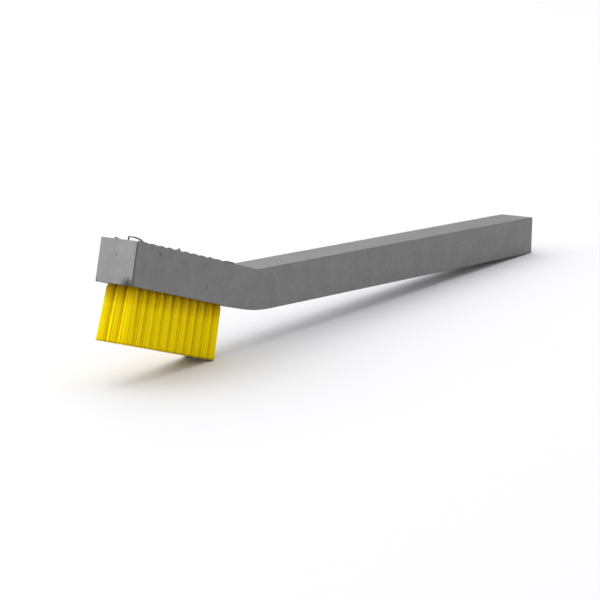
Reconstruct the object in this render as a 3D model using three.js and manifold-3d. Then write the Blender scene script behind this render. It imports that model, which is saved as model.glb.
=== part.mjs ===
// Bent-handle scratch brush: a square metal bar bent once, with rows of filament tufts laced into its head.
//
// The brush is drawn in the head's own frame, in millimetres: x runs from the nose to the handle, y across
// the bar, and z up, with the back of the head at z = 0. The last step tilts the whole brush into its resting
// pose, on the heel of its bristles and the end of its handle, and centres it over the origin.

import * as THREE from 'three';
import { mergeVertices } from 'three/addons/utils/BufferGeometryUtils.js';
import Module from 'manifold-3d';

// Bar
const barWidth = 11.11;
const barDepth = 11.11;
const headLength = 51.8;
const handleLength = 145.05;
const bendAngle = THREE.MathUtils.degToRad(14.1);
const undersideBendRadius = 60;
const valleyRadius = 1.2;
const edgeChamfer = 0.2;
const noseSkew = 0.25;

// Grid of holes
const rowNames = ['left', 'middle', 'right'];
const tuftsPerRow = 11;
const tuftPitch = 3.45;
const rowPitch = 3.14;
const noseToFirstHole = 4.35;
const boreRadius = 1.35;
const backWall = 2.6;
const drillPointSlope = Math.tan(THREE.MathUtils.degToRad(31));

// Tufts
const bristleTrim = 14.29;
const boreClearance = 0.15;
const tipGap = 0.3;
const tuftSquareness = 0.35;
const foldThickness = 0.8;
const foldRoot = 0.5;
const foldDepth = 2.3;

// Lacing wire. Lifts are of its centre line above the back of the head.
const wireRadius = 0.2;
const wireClearance = 0.15;
const eyeClearance = 0.24;
const wireLegGap = 0.2;
const spanLift = 0.42;
const crossingLift = 0.85;
const spliceLift = 1.05;
const rimGap = 0.15;
const shoulderGap = 0.14;
const shortWireFirstTuft = 6;
const spliceGap = 3 * wireRadius;
const noseTail = 2.2;
const heelTail = 5.5;

// Sizes that follow from the ones above
const legOffset = wireRadius + wireLegGap / 2;
const pilotRadius = legOffset + wireRadius + wireClearance;
const tuftBoreRadius = boreRadius - boreClearance;
const tipHalfLength = (tuftPitch - tipGap) / 2;
const tipHalfWidth = (rowPitch - tipGap) / 2;
const eyeRadius = wireRadius + eyeClearance;
const foldRadius = Math.sqrt((tuftBoreRadius - boreClearance) ** 2 - (foldThickness / 2) ** 2);
const eyeHeight = -backWall - foldDepth;
const looseLegOffset = foldThickness / 2 + wireClearance + wireRadius;
const rimLift = wireRadius + rimGap;
const crossingStep = 3 * wireRadius;
const eyeSag = wireRadius / 4;
const legDrop = 1.5 * wireRadius;
const tailRestHeight = wireRadius + wireClearance;
const spliceTail = tuftPitch - pilotRadius - spliceGap;
const tipHeight = -barDepth - bristleTrim;
const lastHoleX = noseToFirstHole + (tuftsPerRow - 1) * tuftPitch;

// Facets on a hole or a tuft
const roundSides = 12;

const wasm = await Module();
wasm.setup();

function toSolid(geometry) {
  const plain = geometry.clone();
  plain.deleteAttribute('normal');
  plain.deleteAttribute('uv');
  const merged = mergeVertices(plain, 1e-4);
  const vertProperties = new Float32Array(merged.attributes.position.array);
  const triVerts = new Uint32Array(merged.index.array);
  return new wasm.Manifold(new wasm.Mesh({ numProp: 3, vertProperties, triVerts }));
}

function toGeometry(solid) {
  const mesh = solid.getMesh();
  const geometry = new THREE.BufferGeometry();
  geometry.setAttribute('position', new THREE.BufferAttribute(mesh.vertProperties, 3));
  geometry.setIndex(new THREE.BufferAttribute(mesh.triVerts, 1));
  geometry.computeVertexNormals();
  return geometry;
}

// A point on the handle arm: along it from the bend, and down from its top face.
function onHandle(along, down) {
  const x = headLength + along * Math.cos(bendAngle) + down * Math.sin(bendAngle);
  const z = along * Math.sin(bendAngle) - down * Math.cos(bendAngle);
  return new THREE.Vector2(x, z);
}

// Side view of the bar, with x along the head and the shape's y as height.
function barOutline() {
  const halfTurn = Math.tan(bendAngle / 2);
  const valleyRun = valleyRadius * halfTurn;
  const undersideRun = undersideBendRadius * halfTurn;
  const undersideX = headLength + barDepth * halfTurn;
  const undersideStartX = undersideX - undersideRun;
  const undersideCentreZ = undersideBendRadius - barDepth;
  const endLowFar = onHandle(handleLength - edgeChamfer, barDepth);
  const endLow = onHandle(handleLength, barDepth - edgeChamfer);
  const endHigh = onHandle(handleLength, edgeChamfer);
  const endTop = onHandle(handleLength - edgeChamfer, 0);
  const down = -Math.PI / 2;
  const outline = new THREE.Shape();
  outline.moveTo(edgeChamfer, -barDepth);
  outline.absarc(undersideStartX, undersideCentreZ, undersideBendRadius, down, down + bendAngle, false);
  outline.lineTo(endLowFar.x, endLowFar.y);
  outline.lineTo(endLow.x, endLow.y);
  outline.lineTo(endHigh.x, endHigh.y);
  outline.lineTo(endTop.x, endTop.y);
  outline.absarc(headLength - valleyRun, valleyRadius, valleyRadius, down + bendAngle, down, true);
  outline.lineTo(edgeChamfer, 0);
  outline.lineTo(0, -edgeChamfer);
  outline.lineTo(0, edgeChamfer - barDepth);
  outline.closePath();
  return outline;
}

function bareBar() {
  const geometry = new THREE.ExtrudeGeometry(barOutline(), {
    depth: barWidth - 2 * edgeChamfer,
    bevelEnabled: true,
    bevelSize: edgeChamfer,
    bevelThickness: edgeChamfer,
    bevelOffset: -edgeChamfer,
    bevelSegments: 1,
    curveSegments: 6,
  });
  geometry.translate(0, 0, edgeChamfer - barWidth / 2);
  geometry.rotateX(Math.PI / 2);
  skewNose(geometry);
  return geometry;
}

// The nose is cut a little out of square: its back and its right side reach further than the rest.
function skewNose(geometry) {
  const spots = geometry.attributes.position;
  for (let i = 0; i < spots.count; i += 1) {
    if (spots.getX(i) <= edgeChamfer * 2) {
      const right = spots.getY(i) / (barWidth / 2);
      const high = spots.getZ(i) / (barDepth / 2) + 1;
      spots.setX(i, spots.getX(i) - noseSkew * (right + high));
    }
  }
}

// Every hole's place, row by row from the left side of the bar and nose to heel in each row.
function holeAt(row, column) {
  const y = (row - (rowNames.length - 1) / 2) * rowPitch;
  return new THREE.Vector3(noseToFirstHole + column * tuftPitch, y, 0);
}

// The stepped hole: a bore from below with a drill point, and a pilot through the back wall.
function holeCutter() {
  const over = 1;
  const pointHeight = (boreRadius - pilotRadius) * drillPointSlope;
  const profile = [
    new THREE.Vector2(0, -barDepth - over),
    new THREE.Vector2(boreRadius, -barDepth - over),
    new THREE.Vector2(boreRadius, -backWall - pointHeight),
    new THREE.Vector2(pilotRadius, -backWall),
    new THREE.Vector2(pilotRadius, over),
    new THREE.Vector2(0, over),
  ];
  const geometry = new THREE.LatheGeometry(profile, roundSides);
  geometry.rotateX(Math.PI / 2);
  return geometry;
}

function handleBar() {
  const cutter = toSolid(holeCutter());
  let bar = toSolid(bareBar());
  for (let row = 0; row < rowNames.length; row += 1) {
    for (let column = 0; column < tuftsPerRow; column += 1) {
      const place = holeAt(row, column);
      bar = bar.subtract(cutter.translate([place.x, place.y, place.z]));
    }
  }
  return toGeometry(bar);
}

// The folded end of a tuft: an arch of filament over the wire, seen along the row, with an eye for the wire.
function tuftFold(bundleTop) {
  const arch = new THREE.Shape();
  arch.moveTo(foldRadius, bundleTop - foldRoot);
  arch.absarc(0, eyeHeight, foldRadius, 0, Math.PI, false);
  arch.lineTo(-foldRadius, bundleTop - foldRoot);
  const geometry = new THREE.ExtrudeGeometry(arch, {
    depth: foldThickness,
    bevelEnabled: false,
    curveSegments: 3,
  });
  geometry.translate(0, 0, -foldThickness / 2);
  geometry.rotateX(Math.PI / 2);
  geometry.rotateZ(Math.PI / 2);
  const eye = new THREE.CylinderGeometry(eyeRadius, eyeRadius, foldThickness * 2, 6);
  eye.rotateZ(Math.PI / 2);
  eye.translate(0, 0, eyeHeight);
  return toSolid(geometry).subtract(toSolid(eye));
}

// The bundle below the fold: round in the bore, flared towards a rounded square at the cut tips.
function tuftBundle(bundleTop) {
  const profile = [
    new THREE.Vector2(0, tipHeight),
    new THREE.Vector2(tuftBoreRadius, tipHeight),
    new THREE.Vector2(tuftBoreRadius, -barDepth),
    new THREE.Vector2(tuftBoreRadius, bundleTop),
    new THREE.Vector2(0, bundleTop),
  ];
  const geometry = new THREE.LatheGeometry(profile, roundSides);
  geometry.rotateX(Math.PI / 2);
  const spots = geometry.attributes.position;
  for (let i = 0; i < spots.count; i += 1) {
    const flare = THREE.MathUtils.clamp((-barDepth - spots.getZ(i)) / bristleTrim, 0, 1);
    const corner = Math.abs(spots.getX(i) * spots.getY(i)) * 2 / tuftBoreRadius ** 2;
    const square = 1 + tuftSquareness * flare * corner * (Math.SQRT2 - 1);
    const stretchX = THREE.MathUtils.lerp(1, tipHalfLength / tuftBoreRadius, flare);
    const stretchY = THREE.MathUtils.lerp(1, tipHalfWidth / tuftBoreRadius, flare);
    spots.setX(i, spots.getX(i) * stretchX * square);
    spots.setY(i, spots.getY(i) * stretchY * square);
  }
  return geometry;
}

function tuft() {
  const bundleTop = eyeHeight - eyeRadius;
  return toGeometry(toSolid(tuftBundle(bundleTop)).add(tuftFold(bundleTop)));
}

// A curve whose stations are the route's own points, so that the tube has one section at each of them.
class Route extends THREE.CatmullRomCurve3 {
  getPointAt(share, target) {
    return this.getPoint(share, target);
  }

  getTangentAt(share, target) {
    return this.getTangent(share, target);
  }
}

// Over the pilot's rim, down one side of it, under the fold and up the other side. Travel is the way the wire
// leaves the hole, and each station of a side is its distance from the hole's axis and its height.
function loopPoints(hole, travel) {
  const side = [
    [pilotRadius + rimGap, rimLift],
    [legOffset + shoulderGap, rimLift - shoulderGap],
    [legOffset, -wireRadius / 2],
    [legOffset, wireRadius - backWall],
    [looseLegOffset, eyeHeight + legDrop],
    [looseLegOffset - wireRadius / 2, eyeHeight],
  ];
  const down = side.map(([away, height]) => new THREE.Vector3(-away * travel, 0, height));
  const up = side.map(([away, height]) => new THREE.Vector3(away * travel, 0, height)).reverse();
  const all = [...down, new THREE.Vector3(0, 0, eyeHeight - eyeSag), ...up];
  return all.map((point) => point.add(hole));
}

function wireTube(points) {
  const section = new THREE.Shape();
  section.absarc(0, 0, wireRadius, 0, 2 * Math.PI, false);
  return new THREE.ExtrudeGeometry(section, {
    steps: points.length - 1,
    curveSegments: 3,
    extrudePath: new Route(points),
  });
}

// The span between two holes of a row is one raised station; between rows it swings out past the end of both.
function spanPoints(hole, next, travel) {
  if (next.y === hole.y) {
    return [new THREE.Vector3((hole.x + next.x) / 2, hole.y, spanLift)];
  }
  const swing = hole.x + travel * tuftPitch / 2;
  const sideStep = Math.sign(next.y - hole.y) * crossingStep;
  return [
    new THREE.Vector3(swing, hole.y + sideStep, crossingLift),
    new THREE.Vector3(swing, next.y - sideStep, crossingLift),
  ];
}

// A wire that visits the holes in order, with a tail at each end.
function lace(holes, startTail, endTail) {
  const points = [...startTail];
  let travel = Math.sign(holes[1].x - holes[0].x);
  holes.forEach((hole, index) => {
    points.push(...loopPoints(hole, travel));
    const next = holes[index + 1];
    if (next) {
      points.push(...spanPoints(hole, next, travel));
      travel = next.y === hole.y ? travel : -travel;
    }
  });
  points.push(...endTail);
  return wireTube(points);
}

function rowOf(row, first, last) {
  const step = Math.sign(last - first);
  const count = Math.abs(last - first) + 1;
  return Array.from({ length: count }, (_, i) => holeAt(row, first + step * i));
}

// The long wire starts at the splice and runs to the nose, then laces the other two rows, there and back.
function longWire() {
  const lastColumn = tuftsPerRow - 1;
  const holes = [
    ...rowOf(0, shortWireFirstTuft - 2, 0),
    ...rowOf(1, 0, lastColumn),
    ...rowOf(2, lastColumn, 0),
  ];
  const start = holes[0];
  const end = holes[holes.length - 1];
  const startTail = [
    new THREE.Vector3(start.x + spliceTail, start.y, spliceLift),
    new THREE.Vector3(start.x + spliceTail / 2 + pilotRadius / 2, start.y, (spliceLift + rimLift) / 2),
  ];
  const endTail = [new THREE.Vector3(end.x - noseTail, end.y, tailRestHeight)];
  return lace(holes, startTail, endTail);
}

// The short wire laces the rest of the left row, and its end lies flat behind the heel.
function shortWire() {
  const holes = rowOf(0, shortWireFirstTuft - 1, tuftsPerRow - 1);
  const start = holes[0];
  const end = holes[holes.length - 1];
  const startTail = [new THREE.Vector3(start.x - pilotRadius - 2 * wireRadius, start.y, spanLift)];
  const endTail = [
    new THREE.Vector3(end.x + heelTail / 2, end.y, tailRestHeight),
    new THREE.Vector3(end.x + heelTail, end.y, tailRestHeight),
  ];
  return lace(holes, startTail, endTail);
}

const barMetal = new THREE.MeshStandardMaterial({ color: 0x8c8c8a, roughness: 0.5, metalness: 1 });
const yellowFilament = new THREE.MeshStandardMaterial({ color: 0xe0cc00, roughness: 0.45, metalness: 0 });
const wireMetal = new THREE.MeshStandardMaterial({ color: 0x9a9a98, roughness: 0.3, metalness: 1 });

function piece(name, geometry, material) {
  const mesh = new THREE.Mesh(geometry, material);
  mesh.name = name;
  return mesh;
}

function tuftMeshes() {
  const meshes = [];
  rowNames.forEach((rowName, row) => {
    for (let column = 0; column < tuftsPerRow; column += 1) {
      const number = String(column + 1).padStart(2, '0');
      const mesh = piece(`tuft_${rowName}_${number}`, tuft(), yellowFilament);
      mesh.position.copy(holeAt(row, column));
      meshes.push(mesh);
    }
  });
  return meshes;
}

// The tilt that brings the heel of the bristles and the lower edge of the handle's end to one level.
function restTilt(heel, handleFoot) {
  return Math.atan2(handleFoot.y - heel.y, handleFoot.x - heel.x);
}

const brush = new THREE.Group();
brush.add(piece('handle_bar', handleBar(), barMetal));
brush.add(...tuftMeshes());
brush.add(piece('lacing_wire_long', longWire(), wireMetal));
brush.add(piece('lacing_wire_short', shortWire(), wireMetal));

const heel = new THREE.Vector2(lastHoleX + tipHalfLength, tipHeight);
const handleFoot = onHandle(handleLength - edgeChamfer, barDepth);
brush.rotation.y = restTilt(heel, handleFoot);
brush.updateMatrixWorld(true);

const box = new THREE.Box3().setFromObject(brush, true);
brush.position.set(-(box.min.x + box.max.x) / 2, -(box.min.y + box.max.y) / 2, -box.min.z);

const model = new THREE.Group();
model.add(brush);

export default model;
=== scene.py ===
"""Looks of the bent-handle scratch brush: a square metal bar, rows of yellow tufts and a lacing wire.

Everything is drawn in the head's own frame, in metres: x runs from the nose to the handle, y across the
bar and z up from the back of the head. That frame is found from the CAD nodes, and a matrix takes each
piece to its place.
"""

import math
import random

import bpy
import numpy as np
from mathutils import Matrix, Vector, noise


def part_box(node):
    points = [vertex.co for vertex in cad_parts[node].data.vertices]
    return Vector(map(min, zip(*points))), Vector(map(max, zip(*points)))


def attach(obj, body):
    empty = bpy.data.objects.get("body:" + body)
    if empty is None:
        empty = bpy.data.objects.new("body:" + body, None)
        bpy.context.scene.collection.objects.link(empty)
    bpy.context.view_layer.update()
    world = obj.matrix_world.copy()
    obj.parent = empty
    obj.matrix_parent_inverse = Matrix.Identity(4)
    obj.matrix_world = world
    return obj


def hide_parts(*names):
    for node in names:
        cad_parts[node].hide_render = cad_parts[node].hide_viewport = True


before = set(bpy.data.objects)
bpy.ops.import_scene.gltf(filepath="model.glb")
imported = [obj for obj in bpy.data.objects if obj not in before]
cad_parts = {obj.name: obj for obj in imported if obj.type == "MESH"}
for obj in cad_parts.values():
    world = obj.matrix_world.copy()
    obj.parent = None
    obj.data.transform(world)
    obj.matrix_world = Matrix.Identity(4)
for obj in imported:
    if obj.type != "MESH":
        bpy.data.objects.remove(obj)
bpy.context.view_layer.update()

MM = 0.001

# Bar, the same sizes as the CAD model
BAR = 11.11 * MM
HEAD_LENGTH = 51.8 * MM
HANDLE_LENGTH = 145.05 * MM
BEND = math.radians(14.1)
UNDERSIDE_RADIUS = 60 * MM
VALLEY_RADIUS = 1.2 * MM
EDGE_RADIUS = 0.16 * MM
NOSE_SKEW = 0.25 * MM
SKEW_REACH = 3 * MM

# Holes
FIRST_HOLE = 4.35 * MM
ROWS = ("left", "middle", "right")
COLUMNS = 11
BORE_RADIUS = 1.35 * MM
BACK_WALL = 2.6 * MM
DRILL_POINT = 0.42 * MM
PILOT_RADIUS = 0.65 * MM

# Filament
TRIM = 14.29 * MM
FILAMENT_RADIUS = 0.175 * MM
FILAMENT_SIDES = 8
FILAMENT_SPACING = 0.255 * MM
GRID_SHAKE = 0.10
BUNDLE_RADIUS = 1.33 * MM
TIP_HALF_X = 1.76 * MM
TIP_HALF_Y = 1.64 * MM
EYE_DEPTH = BACK_WALL + 2.3 * MM

# Lacing wire
WIRE_RADIUS = 0.2 * MM
WIRE_SIDES = 12
LEG_OFFSET_MM = 0.3


def tuft_name(row, column):
    return f"tuft_{ROWS[row]}_{column + 1:02d}"


def box_centre(node):
    low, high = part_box(node)
    return (Vector(low) + Vector(high)) / 2


def find_head_frame():
    """The matrix that takes the head's own frame to the row frame."""
    run = box_centre(tuft_name(0, COLUMNS - 1)) - box_centre(tuft_name(0, 0))
    tilt = Matrix.Rotation(math.atan2(-run.z, run.x), 4, "Y")
    level = tilt.inverted()
    bar = [level @ v.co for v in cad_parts["handle_bar"].data.vertices]
    tuft = [level @ v.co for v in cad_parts[tuft_name(0, 0)].data.vertices]
    column = (min(p.x for p in tuft) + max(p.x for p in tuft)) / 2
    underside = min(p.z for p in bar)
    return tilt @ Matrix.Translation((column - FIRST_HOLE, 0, underside + BAR))


HEAD = find_head_frame()
PITCH = (box_centre(tuft_name(0, 1)) - box_centre(tuft_name(0, 0))).length
ROW_PITCH = (box_centre(tuft_name(1, 0)) - box_centre(tuft_name(0, 0))).length


def hole_at(row, column):
    return Vector((FIRST_HOLE + column * PITCH, (row - 1) * ROW_PITCH, 0))


# ---------------------------------------------------------------- mesh helpers


def add_piece(name, verts, faces, replaces, material, smooth_angle=None):
    """A mesh piece from points in the head's frame, standing for the CAD nodes it replaces."""
    mesh = bpy.data.meshes.new(name)
    mesh.from_pydata([HEAD @ Vector(v) for v in verts], [], faces)
    mesh.validate()
    mesh.shade_smooth()
    if smooth_angle:
        mesh.set_sharp_from_angle(angle=math.radians(smooth_angle))
    obj = bpy.data.objects.new(name, mesh)
    bpy.context.scene.collection.objects.link(obj)
    mesh.materials.append(material)
    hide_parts(replaces)
    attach(obj, "root")
    return obj


def add_floats(mesh, name, values):
    layer = mesh.attributes.new(name, "FLOAT", "POINT")
    layer.data.foreach_set("value", np.array(values, np.float32))


def path_frames(points):
    """Two directions across the path at each point, carried along it without twist."""
    tangents = [
        (points[min(i + 1, len(points) - 1)] - points[max(i - 1, 0)]).normalized()
        for i in range(len(points))
    ]
    side = tangents[0].orthogonal().normalized()
    frames = []
    for tangent in tangents:
        side = (side - tangent * side.dot(tangent)).normalized()
        frames.append((side, tangent.cross(side)))
    return frames


def tube(verts, faces, points, radii, sides):
    """Adds a closed tube along the points to the lists."""
    base = len(verts)
    for point, radius, (u, v) in zip(points, radii, path_frames(points)):
        for k in range(sides):
            angle = 2 * math.pi * k / sides
            verts.append(point + (u * math.cos(angle) + v * math.sin(angle)) * radius)
    for ring in range(len(points) - 1):
        for k in range(sides):
            a = base + ring * sides + k
            b = base + ring * sides + (k + 1) % sides
            faces.append((a, b, b + sides, a + sides))
    faces.append(tuple(base + k for k in reversed(range(sides))))
    last = base + (len(points) - 1) * sides
    faces.append(tuple(last + k for k in range(sides)))


# ---------------------------------------------------------------- materials


def new_material(name):
    material = bpy.data.materials.new(name)
    material.use_nodes = True
    nodes = material.node_tree.nodes
    return material, nodes, material.node_tree.links, nodes["Principled BSDF"]


def noise_node(nodes, links, vector, scale, detail=4.0, rough=0.55):
    node = nodes.new("ShaderNodeTexNoise")
    node.inputs["Scale"].default_value = scale
    node.inputs["Detail"].default_value = detail
    node.inputs["Roughness"].default_value = rough
    links.new(vector, node.inputs["Vector"])
    return node.outputs["Fac"]


def remap(nodes, links, value, low, high, to_low, to_high):
    node = nodes.new("ShaderNodeMapRange")
    for name, number in (("From Min", low), ("From Max", high), ("To Min", to_low), ("To Max", to_high)):
        node.inputs[name].default_value = number
    links.new(value, node.inputs["Value"])
    return node.outputs["Result"]


def ramp(nodes, links, value, stops):
    node = nodes.new("ShaderNodeValToRGB")
    elements = node.color_ramp.elements
    while len(elements) < len(stops):
        elements.new(0.5)
    for element, (position, colour) in zip(elements, stops):
        element.position = position
        element.color = (*colour, 1)
    links.new(value, node.inputs["Fac"])
    return node.outputs["Color"]


def math_node(nodes, links, operation, a, b):
    node = nodes.new("ShaderNodeMath")
    node.operation = operation
    for socket, source in zip(node.inputs, (a, b)):
        if isinstance(source, (int, float)):
            socket.default_value = source
        else:
            links.new(source, socket)
    return node.outputs[0]


def mix_colour(nodes, links, factor, a, b, blend="MIX"):
    node = nodes.new("ShaderNodeMix")
    node.data_type = "RGBA"
    node.blend_type = blend
    for socket, source in ((node.inputs["Factor"], factor), (node.inputs["A"], a), (node.inputs["B"], b)):
        if isinstance(source, (int, float)):
            socket.default_value = source
        elif isinstance(source, tuple):
            socket.default_value = (*source, 1)
        else:
            links.new(source, socket)
    return node.outputs["Result"]


def scaled(nodes, links, vector, scale):
    node = nodes.new("ShaderNodeMapping")
    node.inputs["Scale"].default_value = scale
    links.new(vector, node.inputs["Vector"])
    return node.outputs["Vector"]


def bump(nodes, links, height, distance, strength=1.0):
    node = nodes.new("ShaderNodeBump")
    node.inputs["Distance"].default_value = distance
    node.inputs["Strength"].default_value = strength
    links.new(height, node.inputs["Height"])
    return node.outputs["Normal"]


def head_space(nodes, links):
    """The shaded point in the head's own frame, in millimetres."""
    into_head = HEAD.inverted()
    node = nodes.new("ShaderNodeMapping")
    node.inputs["Rotation"].default_value = into_head.to_euler()
    node.inputs["Location"].default_value = into_head.to_translation() / MM
    node.inputs["Scale"].default_value = (1 / MM, 1 / MM, 1 / MM)
    links.new(nodes.new("ShaderNodeTexCoord").outputs["Object"], node.inputs["Vector"])
    return node.outputs["Vector"]


def vector_math(nodes, links, operation, a, b, output="Value"):
    node = nodes.new("ShaderNodeVectorMath")
    node.operation = operation
    for socket, source in zip(node.inputs, (a, b)):
        if isinstance(source, tuple):
            socket.default_value = source
        else:
            links.new(source, socket)
    return node.outputs[output]


def wobbled(nodes, links, place, amount, scale):
    """The same place, shaken by noise so that a mark drawn there has a ragged outline."""
    shake = nodes.new("ShaderNodeTexNoise")
    shake.inputs["Scale"].default_value = scale
    links.new(place, shake.inputs["Vector"])
    centred = vector_math(nodes, links, "SUBTRACT", shake.outputs["Color"], (0.5, 0.5, 0.5), "Vector")
    swing = vector_math(nodes, links, "MULTIPLY", centred, (amount, amount, amount), "Vector")
    return vector_math(nodes, links, "ADD", place, swing, "Vector")


def nose_marks(nodes, links):
    """Masks of dark spots by the nose, with painted shade along the cut edge of each side, and of the nose
    face, which is painted lighter as painted light.
    """
    half = BAR / MM / 2
    place = head_space(nodes, links)
    ragged = wobbled(nodes, links, place, 1.1, 1.3)
    marks = [
        ((0.0, 1.3 - half, -2 * half), 2.5, 0.9, 0.85),
        ((0.0, half, -2 * half), 1.1, 0.4, 0.6),
        ((0.0, 0.2, -3.9), 0.6, 0.15, 0.35),
        ((9.8, -half, -1.8), 0.65, 0.15, 0.45),
        ((6.1, -half, -0.9), 0.5, 0.1, 0.3),
        ((31.0, -half, -7.5), 0.8, 0.1, 0.25),
    ]
    total = 0.0
    for centre, reach, core, depth in marks:
        away = vector_math(nodes, links, "DISTANCE", ragged, centre)
        mark = remap(nodes, links, away, core, reach, depth, 0.0)
        total = math_node(nodes, links, "MAXIMUM", mark, total)
    skew = NOSE_SKEW / MM / half
    behind_nose = vector_math(nodes, links, "DOT_PRODUCT", place, (1.0, skew, skew))
    behind_nose = math_node(nodes, links, "ADD", behind_nose, NOSE_SKEW / MM)
    parts = nodes.new("ShaderNodeSeparateXYZ")
    links.new(place, parts.inputs["Vector"])
    outward = math_node(nodes, links, "ABSOLUTE", parts.outputs["Y"], 0.0)
    on_side = remap(nodes, links, outward, half - 0.12, half - 0.04, 0.0, 1.0)
    # Painted shade: a dark line on each side face along the nose's cut edge.
    edge = remap(nodes, links, behind_nose, 0.15, 0.75, 0.62, 0.0)
    edge = math_node(nodes, links, "MULTIPLY", edge, on_side)
    # Painted light: the nose face itself, made lighter than the rest of the bar.
    painted_light_nose_face = remap(nodes, links, behind_nose, 0.02, 0.12, 1.0, 0.0)
    return math_node(nodes, links, "MAXIMUM", edge, total), painted_light_nose_face


def bar_material():
    """Dull mill-finish metal: fine drawing lines along the bar, clouds, specks, dark spots by the nose,
    painted shade along its cut edges and a nose face painted lighter.
    """
    material, nodes, links, shader = new_material("mill_finish_metal")
    coords = nodes.new("ShaderNodeTexCoord").outputs["Object"]
    grain_map = nodes.new("ShaderNodeUVMap")
    grain_map.uv_map = "grain"
    grain = grain_map.outputs["UV"]
    lines = noise_node(nodes, links, scaled(nodes, links, grain, (60, 9000, 1)), 1.0, 5)
    clouds = noise_node(nodes, links, coords, 170, 5, 0.6)
    blotches = noise_node(nodes, links, coords, 600, 3, 0.5)
    specks = noise_node(nodes, links, coords, 1500, 2, 0.5)
    mottle = noise_node(nodes, links, coords, 2600, 2, 0.6)
    tone = math_node(nodes, links, "ADD", clouds, remap(nodes, links, lines, 0, 1, -0.12, 0.12))
    tone = math_node(nodes, links, "ADD", tone, remap(nodes, links, mottle, 0.2, 0.8, -0.24, 0.24))
    colour = ramp(nodes, links, tone, [
        (0.20, (0.186, 0.186, 0.185)),
        (0.50, (0.214, 0.214, 0.213)),
        (0.80, (0.242, 0.242, 0.241)),
    ])
    spots = remap(nodes, links, specks, 0.72, 0.80, 0, 0.7)
    colour = mix_colour(nodes, links, spots, colour, (0.10, 0.10, 0.095))
    dark_spots_and_edge_shade, painted_light_nose_face = nose_marks(nodes, links)
    # Painted light: the nose face is painted lighter to stand in for light falling on it.
    painted_lighter_metal = mix_colour(nodes, links, 1.0, colour, (1.145, 1.145, 1.145), "MULTIPLY")
    colour = mix_colour(nodes, links, painted_light_nose_face, colour, painted_lighter_metal)
    # Painted shade along the nose's cut edges, together with the dark spots, mixed in as near-black.
    colour = mix_colour(nodes, links, dark_spots_and_edge_shade, colour, (0.045, 0.045, 0.045))
    links.new(colour, shader.inputs["Base Color"])
    shader.inputs["Metallic"].default_value = 1.0
    links.new(remap(nodes, links, blotches, 0.3, 0.7, 0.46, 0.52), shader.inputs["Roughness"])
    height = math_node(nodes, links, "ADD", lines, math_node(nodes, links, "MULTIPLY", blotches, 0.5))
    links.new(bump(nodes, links, height, 0.00001, 0.6), shader.inputs["Normal"])
    return material


def filament_material():
    """Bright yellow extruded filament with a random tone per filament, painted shade darkening it towards
    the roots, and a painted dark band of shade at the cut tips.
    """
    material, nodes, links, shader = new_material("yellow_filament")
    own = nodes.new("ShaderNodeAttribute")
    own.attribute_name = "own_shade"
    along = nodes.new("ShaderNodeAttribute")
    along.attribute_name = "along"
    colour = ramp(nodes, links, own.outputs["Fac"], [
        (0.0, (0.94, 0.69, 0.000)),
        (0.5, (0.96, 0.72, 0.000)),
        (1.0, (0.97, 0.74, 0.000)),
    ])
    # Painted shade: browner and darker towards the roots, where the filaments sit in shade under the
    # block.
    root = remap(nodes, links, along.outputs["Fac"], 0.0, 0.34, 0.85, 0.0)
    colour = mix_colour(nodes, links, root, colour, (0.34, 0.18, 0.0))
    # Painted shade: a dark band at the cut tips, where their end faces lie in shade.
    tip = remap(nodes, links, along.outputs["Fac"], 0.965, 0.985, 0.0, 0.65)
    colour = mix_colour(nodes, links, tip, colour, (0.40, 0.27, 0.0))
    links.new(colour, shader.inputs["Base Color"])
    shader.inputs["Roughness"].default_value = 0.45
    shader.inputs["Specular IOR Level"].default_value = 0.06
    shader.inputs["Subsurface Weight"].default_value = 0.7
    shader.inputs["Subsurface Radius"].default_value = (1.0, 0.8, 0.05)
    shader.inputs["Subsurface Scale"].default_value = 0.00025
    coords = nodes.new("ShaderNodeTexCoord").outputs["Object"]
    scuffs = noise_node(nodes, links, coords, 4000, 2)
    links.new(bump(nodes, links, scuffs, 0.000006, 0.5), shader.inputs["Normal"])
    return material


def wire_material():
    """Drawn steel wire, its colour dark partly for the wire itself and partly as painted shade for the
    shadow line along it.
    """
    material, nodes, links, shader = new_material("drawn_wire")
    coords = nodes.new("ShaderNodeTexCoord").outputs["Object"]
    cloud = noise_node(nodes, links, coords, 900, 3)
    # Dark wire colour, partly the wire's own colour and partly painted shade for the shadow under it.
    colour = ramp(nodes, links, cloud, [(0.3, (0.16, 0.16, 0.157)), (0.7, (0.32, 0.32, 0.315))])
    links.new(colour, shader.inputs["Base Color"])
    shader.inputs["Metallic"].default_value = 1.0
    links.new(remap(nodes, links, cloud, 0.3, 0.7, 0.26, 0.40), shader.inputs["Roughness"])
    return material


def floor_material():
    material, nodes, links, shader = new_material("pale_floor")
    coords = nodes.new("ShaderNodeTexCoord").outputs["Object"]
    tone = noise_node(nodes, links, coords, 3, 2)
    colour = ramp(nodes, links, tone, [(0.0, (0.75, 0.75, 0.767)), (1.0, (0.78, 0.78, 0.797))])
    links.new(colour, shader.inputs["Base Color"])
    shader.inputs["Roughness"].default_value = 0.75
    shader.inputs["Specular IOR Level"].default_value = 0.2
    return material


# ---------------------------------------------------------------- bar


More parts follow.
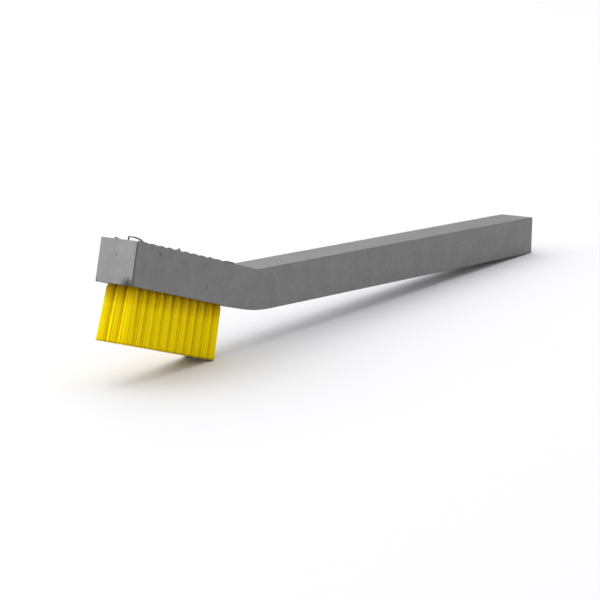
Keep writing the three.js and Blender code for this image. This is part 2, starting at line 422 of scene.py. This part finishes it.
def bar_stations():
    """Pairs of points on the bar's back and underside, with the distance along the bar, nose to end."""
    half_turn = math.tan(BEND / 2)
    along = Vector((math.cos(BEND), 0, math.sin(BEND)))
    across = Vector((-math.sin(BEND), 0, math.cos(BEND)))
    valley = Vector((HEAD_LENGTH - VALLEY_RADIUS * half_turn, 0, VALLEY_RADIUS))
    belly = Vector((HEAD_LENGTH + (BAR - UNDERSIDE_RADIUS) * half_turn, 0, UNDERSIDE_RADIUS - BAR))
    end_back = Vector((HEAD_LENGTH, 0, 0)) + along * HANDLE_LENGTH
    end_under = end_back - across * BAR
    turn_steps, handle_steps = 10, 120
    near_nose = [0, 0.008, 0.016, 0.024, 0.034, 0.046, 0.06, 0.076]
    head = [*near_nose, *(0.1 + 0.9 * i / 40 for i in range(40))]
    pairs = [(Vector((valley.x * share, 0, 0)), Vector((belly.x * share, 0, -BAR))) for share in head]
    for i in range(turn_steps + 1):
        angle = BEND * i / turn_steps
        out = Vector((math.sin(angle), 0, -math.cos(angle)))
        pairs.append((valley + out * VALLEY_RADIUS, belly + out * UNDERSIDE_RADIUS))
    turn_back, turn_under = pairs[-1]
    for i in range(1, handle_steps + 1):
        share = i / handle_steps
        pairs.append((turn_back.lerp(end_back, share), turn_under.lerp(end_under, share)))
    return pairs


def rounded_square(inset, corner):
    """Points round a unit square section as (across, depth) shares, inset and with rounded corners."""
    flat_steps, corner_steps = 14, 4
    half = 0.5 - inset
    radius = max(corner - inset, corner * 0.15)
    points = []
    for quarter in range(4):
        turn = quarter * math.pi / 2
        for i in range(flat_steps):
            slide = -math.cos(math.pi * i / flat_steps) * (half - radius)
            points.append((half, slide, turn))
        for i in range(corner_steps):
            angle = math.pi / 2 * i / corner_steps
            x = half - radius + radius * math.cos(angle)
            y = half - radius + radius * math.sin(angle)
            points.append((x, y, turn))
    return [
        (x * math.cos(t) - y * math.sin(t), x * math.sin(t) + y * math.cos(t))
        for x, y, t in points
    ]


def bar_shell():
    """The bar before its holes are drilled, as points, faces and the grain map's corner values."""
    corner = EDGE_RADIUS / BAR
    pairs = bar_stations()
    rounding = 4
    rings = []
    for end, neighbour in ((0, 1), (-1, -2)):
        back, under = pairs[end]
        next_back, next_under = pairs[neighbour]
        step = (next_back - back).length
        rings.append((back, under, corner * 2))
        for i in range(rounding):
            angle = math.pi / 2 * i / rounding
            inset = corner * (1 - math.sin(angle))
            move = EDGE_RADIUS * (1 - math.cos(angle)) / step
            rings.append((back.lerp(next_back, move), under.lerp(next_under, move), inset))
    nose, tail = rings[:rounding + 1], rings[rounding + 1:]
    body = [(b, u, 0.0) for b, u in pairs[1:-1]]
    rings = nose + body + tail[::-1]
    verts, grain = [], []
    distance, previous = 0.0, rings[0][0]
    outline = rounded_square(0, corner)
    count = len(outline)
    girth = [0.0]
    for a, b in zip(outline, outline[1:]):
        girth.append(girth[-1] + math.dist(a, b) * BAR)
    for back, under, inset in rings:
        distance += (back - previous).length
        previous = back
        for k, (across, depth) in enumerate(rounded_square(inset, corner)):
            point = under.lerp(back, depth + 0.5)
            skew = NOSE_SKEW * 2 * (across + depth) * max(0, 1 - point.x / SKEW_REACH)
            verts.append(Vector((point.x - skew, across * BAR, point.z)))
            grain.append((distance, girth[k]))
    faces = []
    for ring in range(len(rings) - 1):
        for k in range(count):
            a = ring * count + k
            b = ring * count + (k + 1) % count
            faces.append((a, b, b + count, a + count))
    faces.append(tuple(reversed(range(count))))
    last = (len(rings) - 1) * count
    faces.append(tuple(last + k for k in range(count)))
    return verts, faces, grain


def dent_bar(verts):
    """Moves the points for the waviness of drawn bar, nicks along its edges and knocks at the nose."""
    rng = random.Random(7)
    half = BAR / 2
    nicks = []
    for _ in range(46):
        x = rng.uniform(0.5, 190) * MM
        side = rng.choice((-1, 1))
        level = rng.choice((0, -BAR))
        z = level + max(0, x - HEAD_LENGTH) * math.tan(BEND)
        reach = rng.uniform(0.5, 1.3) * MM
        nicks.append((Vector((x, side * half, z)), reach, rng.uniform(0.03, 0.12) * MM))
    nicks += [
        (Vector((0, -half, -BAR)), 1.3 * MM, 0.22 * MM),
        (Vector((0, -half, 0)), 1.3 * MM, 0.55 * MM),
        (Vector((0, half, -BAR)), 0.9 * MM, 0.14 * MM),
        (Vector((0, -half, -0.35 * BAR)), 0.8 * MM, 0.08 * MM),
    ]
    middle = Vector((0, 0, -half))
    for v in verts:
        wave = noise.noise(v * 90) * 0.03 * MM
        centre = Vector((v.x, 0, v.z)) if v.x > HEAD_LENGTH else Vector((v.x, 0, middle.z))
        inward = (centre - v).normalized() if (centre - v).length > 0 else Vector((0, 0, 0))
        v += inward * abs(wave)
        for spot, reach, depth in nicks:
            away = (v - spot).length
            if away < reach:
                sink = (Vector((spot.x + 2 * MM, 0, spot.z - half)) - v).normalized()
                v += sink * depth * (1 - away / reach) ** 2


def drill():
    """All the stepped holes as one cutter mesh, in the head's frame."""
    sides = 28
    over = 1 * MM
    profile = [
        (BORE_RADIUS, -BAR - over),
        (BORE_RADIUS, -BACK_WALL - DRILL_POINT),
        (PILOT_RADIUS, -BACK_WALL),
        (PILOT_RADIUS, -0.16 * MM),
        (PILOT_RADIUS + 0.14 * MM, 0.0),
        (PILOT_RADIUS + 0.14 * MM, over),
    ]
    verts, faces = [], []
    for row in range(len(ROWS)):
        for column in range(COLUMNS):
            place = hole_at(row, column)
            base = len(verts)
            for radius, z in profile:
                for k in range(sides):
                    angle = 2 * math.pi * k / sides
                    verts.append(place + Vector((radius * math.cos(angle), radius * math.sin(angle), z)))
            for ring in range(len(profile) - 1):
                for k in range(sides):
                    a = base + ring * sides + k
                    b = base + ring * sides + (k + 1) % sides
                    faces.append((a, b, b + sides, a + sides))
            faces.append(tuple(base + k for k in reversed(range(sides))))
            top = base + (len(profile) - 1) * sides
            faces.append(tuple(top + k for k in range(sides)))
    mesh = bpy.data.meshes.new("drill")
    mesh.from_pydata([HEAD @ v for v in verts], [], faces)
    return bpy.data.objects.new("drill", mesh)


def make_bar():
    verts, faces, grain = bar_shell()
    dent_bar(verts)
    metal = bar_material()
    bar = add_piece("bar_with_laced_head", verts, faces, "handle_bar", metal)
    layer = bar.data.uv_layers.new(name="grain")
    for loop in bar.data.loops:
        layer.data[loop.index].uv = grain[loop.vertex_index]
    cutter = drill()
    bpy.context.scene.collection.objects.link(cutter)
    cut = bar.modifiers.new("holes", "BOOLEAN")
    cut.object = cutter
    cut.operation = "DIFFERENCE"
    cut.solver = "EXACT"
    depsgraph = bpy.context.evaluated_depsgraph_get()
    drilled = bpy.data.meshes.new_from_object(bar.evaluated_get(depsgraph))
    bar.modifiers.clear()
    bar.data = drilled
    drilled.shade_smooth()
    drilled.set_sharp_from_angle(angle=math.radians(38))
    bpy.data.objects.remove(cutter)
    return bar


# ---------------------------------------------------------------- tufts


def bundle_layout(rng):
    """Where a tuft's filaments stand in the bore, on a slightly shaken hexagonal grid of unit radius."""
    reach = (BUNDLE_RADIUS - FILAMENT_RADIUS) / FILAMENT_SPACING
    rows = int(reach) + 2
    spots = []
    for i in range(-rows, rows + 1):
        for j in range(-rows, rows + 1):
            x = i + 0.5 * (j % 2)
            y = j * math.sqrt(3) / 2
            if math.hypot(x, y) <= reach + 0.15:
                shaken_x = x + rng.uniform(-GRID_SHAKE, GRID_SHAKE)
                shaken_y = y + rng.uniform(-GRID_SHAKE, GRID_SHAKE)
                spots.append((shaken_x / reach, shaken_y / reach))
    return spots


def to_square(x, y, amount):
    """Moves a point of the unit disc towards the same place in a unit square."""
    radius = math.hypot(x, y)
    if radius < 1e-6:
        return x, y
    stretch = radius / max(abs(x), abs(y))
    factor = 1 + (stretch - 1) * amount
    return x * factor, y * factor


def smooth_step(value):
    value = min(max(value, 0), 1)
    return value * value * (3 - 2 * value)


def filament_points(spot, place, lean, rng):
    """One filament from its place beside the fold to its cut tip."""
    bore_x = spot[0] * (BUNDLE_RADIUS - FILAMENT_RADIUS)
    bore_y = spot[1] * (BUNDLE_RADIUS - FILAMENT_RADIUS)
    square_x, square_y = to_square(spot[0], spot[1], 0.12)
    tip_x = square_x * (TIP_HALF_X - FILAMENT_RADIUS) + rng.gauss(0, 0.03) * MM + lean[0]
    tip_y = square_y * (TIP_HALF_Y - FILAMENT_RADIUS) + rng.gauss(0, 0.03) * MM + lean[1]
    length = TRIM - abs(rng.gauss(0, 0.06)) * MM
    bow = (rng.gauss(0, 0.025) * MM, rng.gauss(0, 0.025) * MM)
    points = [place + Vector((bore_x, bore_y, z)) for z in (-EYE_DEPTH - 0.6 * MM, -BAR + 1 * MM)]
    for share in (0, 0.02, 0.04, 0.06, 0.09, 0.18, 0.35, 0.55, 0.78, 1):
        spread = 0.35 * smooth_step(share / 0.075) + 0.65 * share
        belly = math.sin(math.pi * share)
        points.append(place + Vector((
            bore_x + (tip_x - bore_x) * spread + bow[0] * belly,
            bore_y + (tip_y - bore_y) * spread + bow[1] * belly,
            -BAR - length * share,
        )))
    nib = (points[-1] - points[-2]).normalized()
    points.insert(-1, points[-1] - nib * 0.04 * MM)
    return points


def fold_points(offset, place):
    """The top of a folded filament: up one side of the eye, over the wire and down the other."""
    points = []
    radius = 0.62 * MM + offset[1] * 0.28 * MM
    x = offset[0] * 0.36 * MM
    for i in range(7):
        angle = math.pi * i / 6
        points.append(place + Vector((x, radius * math.cos(angle), -EYE_DEPTH + radius * math.sin(angle))))
    return points


def make_tuft(row, column, material):
    rng = random.Random(100 * row + column)
    place = hole_at(row, column)
    fan_x = 2 * column / (COLUMNS - 1) - 1
    fan_y = row - 1
    lean = ((rng.gauss(0, 0.05) + 0.36 * fan_x) * MM, (rng.gauss(0, 0.05) + 0.2 * fan_y) * MM)
    verts, faces, along, shade = [], [], [], []
    for spot in bundle_layout(rng):
        points = filament_points(spot, place, lean, rng)
        radii = [FILAMENT_RADIUS] * len(points)
        radii[-1] = FILAMENT_RADIUS * 0.72
        own = min(max(rng.gauss(0.55, 0.22), 0), 1)
        start = len(verts)
        tube(verts, faces, points, radii, FILAMENT_SIDES)
        for v in verts[start:]:
            along.append(min(max((-BAR - v.z) / TRIM, 0), 1))
            shade.append(own)
    for i in range(5):
        for j in (-1, 0, 1):
            points = fold_points(((i - 2) / 2, j), place)
            start = len(verts)
            tube(verts, faces, points, [FILAMENT_RADIUS * 0.9] * len(points), FILAMENT_SIDES)
            along += [0.0] * (len(verts) - start)
            shade += [0.4] * (len(verts) - start)
    name = tuft_name(row, column)
    tuft = add_piece(f"filaments_{name[5:]}", verts, faces, name, material)
    for v in tuft.data.vertices:
        v.co.z = max(v.co.z, 0.0)
    add_floats(tuft.data, "along", along)
    add_floats(tuft.data, "own_shade", shade)
    return tuft


# ---------------------------------------------------------------- lacing wire


def loop_route(hole, travel, rng):
    """Over the rim, down one side of the pilot, under the fold and up the other side."""
    side = [
        (0.98, 0.15),
        (0.72, 0.13),
        (0.43, 0.04),
        (LEG_OFFSET_MM, -0.25),
        (LEG_OFFSET_MM, -1.2),
        (LEG_OFFSET_MM, -2.3),
        (0.52, -3.1),
        (0.75, -3.9),
        (0.72, -4.6),
        (0.45, -4.88),
    ]
    sway = rng.uniform(-0.12, 0.12)
    down = [Vector((-a * travel, sway * max(0, 1 - a), z)) * MM for a, z in side]
    up = [Vector((a * travel, -sway * max(0, 1 - a), z)) * MM for a, z in reversed(side)]
    return [hole + p for p in down + [Vector((0, 0, -4.93)) * MM] + up]


def turning_route(hole, travel, rng):
    """The last hole before a loose crossing: round the pilot, down its far side and up its near side."""
    past = [(-0.75, -0.42, 0.2), (0.1, -0.62, 0.2), (0.85, -0.5, 0.22), (0.98, -0.12, 0.22)]
    over = [(-0.62, 0.1, 0.42), (0.0, 0.2, 0.72)]
    loop = [p - hole for p in loop_route(hole, -travel, rng)][1:-2]
    before = [Vector((a * travel, b, z)) * MM for a, b, z in past]
    after = [Vector((a * travel, b, z)) * MM for a, b, z in over]
    return [hole + p for p in before + loop + after]


def spline(points, steps):
    """Points along a smooth curve through the given ones."""
    ends = [points[0] * 2 - points[1], *points, points[-1] * 2 - points[-2]]
    fine = []
    for i in range(1, len(ends) - 2):
        a, b, c, d = ends[i - 1 : i + 3]
        for k in range(steps):
            t = k / steps
            square = (a * 2 - b * 5 + c * 4 - d) * t**2
            cube = (b * 3 - a - c * 3 + d) * t**3
            fine.append((b * 2 + (c - a) * t + square + cube) * 0.5)
    return [*fine, points[-1]]


def lace(holes, start_tail, end_tail, rng):
    """The wire through the holes in order, from one tail to the other."""
    points = list(start_tail)
    travel = 1 if holes[1].x > holes[0].x else -1
    for index, hole in enumerate(holes):
        after = holes[index + 1] if index + 1 < len(holes) else None
        crossing = after is not None and after.y != hole.y
        loose = crossing and travel < 0
        points += turning_route(hole, travel, rng) if loose else loop_route(hole, travel, rng)
        if crossing:
            swing = hole.x + travel * PITCH / 2
            height = (0.95 if loose else 0.42) * MM
            points.append(Vector((swing, hole.y + 0.55 * MM, height)))
            points.append(Vector((swing + travel * 0.15 * MM, (hole.y + after.y) / 2, height + 0.06 * MM)))
            points.append(Vector((swing, after.y - 0.6 * MM, height)))
            travel = -travel
        elif after:
            middle = (hole.x + after.x) / 2
            lift = 0.15 + 0.14 * rng.random() ** 2
            points.append(Vector((middle, hole.y + rng.uniform(-0.12, 0.12) * MM, lift * MM)))
    return spline(points + list(end_tail), 3)


def row_holes(row, first, last):
    step = 1 if last > first else -1
    return [hole_at(row, column) for column in range(first, last + step, step)]


def make_wire(name, points, material):
    verts, faces = [], []
    tube(verts, faces, points, [WIRE_RADIUS] * len(points), WIRE_SIDES)
    return add_piece(name.replace("lacing_wire", "laced_wire"), verts, faces, name, material, 50)


def make_wires():
    rng = random.Random(23)
    material = wire_material()
    last = COLUMNS - 1
    splice = 4
    holes = row_holes(0, splice, 0) + row_holes(1, 0, last) + row_holes(2, last, 0)
    start, end = holes[0], holes[-1]
    start_tail = [
        start + Vector((2.3, 0.12, 0.62)) * MM,
        start + Vector((1.8, 0.05, 0.60)) * MM,
        start + Vector((1.35, 0.0, 0.42)) * MM,
    ]
    end_tail = [end + Vector((-1.7, 0.1, 0.35)) * MM, end + Vector((-2.2, 0.2, 0.3)) * MM]
    make_wire("lacing_wire_long", lace(holes, start_tail, end_tail, rng), material)
    holes = row_holes(0, splice + 1, last)
    start, end = holes[0], holes[-1]
    start_tail = [start + Vector((-1.9, -0.42, 0.27)) * MM, start + Vector((-1.3, -0.2, 0.28)) * MM]
    end_tail = [end + Vector((x, 0.02 * x, 0.32)) * MM for x in (2.0, 3.6, 5.5)]
    make_wire("lacing_wire_short", lace(holes, start_tail, end_tail, rng), material)


# ---------------------------------------------------------------- stage, lights and camera


def make_floor():
    reach = 6.0
    corners = [(-reach, -reach, 0), (reach, -reach, 0), (reach, reach, 0), (-reach, reach, 0)]
    mesh = bpy.data.meshes.new("floor")
    mesh.from_pydata(corners, [], [(0, 1, 2, 3)])
    floor = bpy.data.objects.new("floor", mesh)
    mesh.materials.append(floor_material())
    bpy.context.scene.collection.objects.link(floor)


def add_softbox(name, place, target, size, power):
    light = bpy.data.lights.new(name, "AREA")
    light.shape = "RECTANGLE"
    light.size, light.size_y = size
    light.energy = power
    obj = bpy.data.objects.new(name, light)
    obj.location = place
    obj.rotation_euler = (Vector(target) - Vector(place)).to_track_quat("-Z", "Y").to_euler()
    bpy.context.scene.collection.objects.link(obj)


def make_lights():
    world = bpy.data.worlds.new("studio")
    world.use_nodes = True
    background = world.node_tree.nodes["Background"]
    background.inputs["Color"].default_value = (1, 1, 1, 1)
    background.inputs["Strength"].default_value = 0.66
    bpy.context.scene.world = world
    add_softbox("top_softbox", (0.1, 0.6, 1.3), (0, 0, 0), (2.8, 2.8), 30)
    add_softbox("left_softbox", (-1.1, 0.7, 0.6), (0, 0, 0.02), (0.9, 0.9), 3.9)


def make_camera():
    data = bpy.data.cameras.new("camera")
    data.sensor_width = 36
    data.lens = 144.504
    camera = bpy.data.objects.new("camera", data)
    camera.location = Vector((-542.35, -369.69, 148.41)) * MM
    forward = Vector((0.79783, 0.56296, -0.21574)).normalized()
    turn = forward.to_track_quat("-Z", "Y").to_matrix().to_4x4()
    roll = Matrix.Rotation(math.radians(-1.012), 4, "Z")
    camera.rotation_euler = (turn @ roll).to_euler()
    bpy.context.scene.collection.objects.link(camera)
    bpy.context.scene.camera = camera


make_camera()
make_bar()
yellow = filament_material()
for row_number in range(len(ROWS)):
    for column_number in range(COLUMNS):
        make_tuft(row_number, column_number, yellow)
make_wires()
make_floor()
make_lights()
bpy.context.scene.view_settings.view_transform = "Standard"
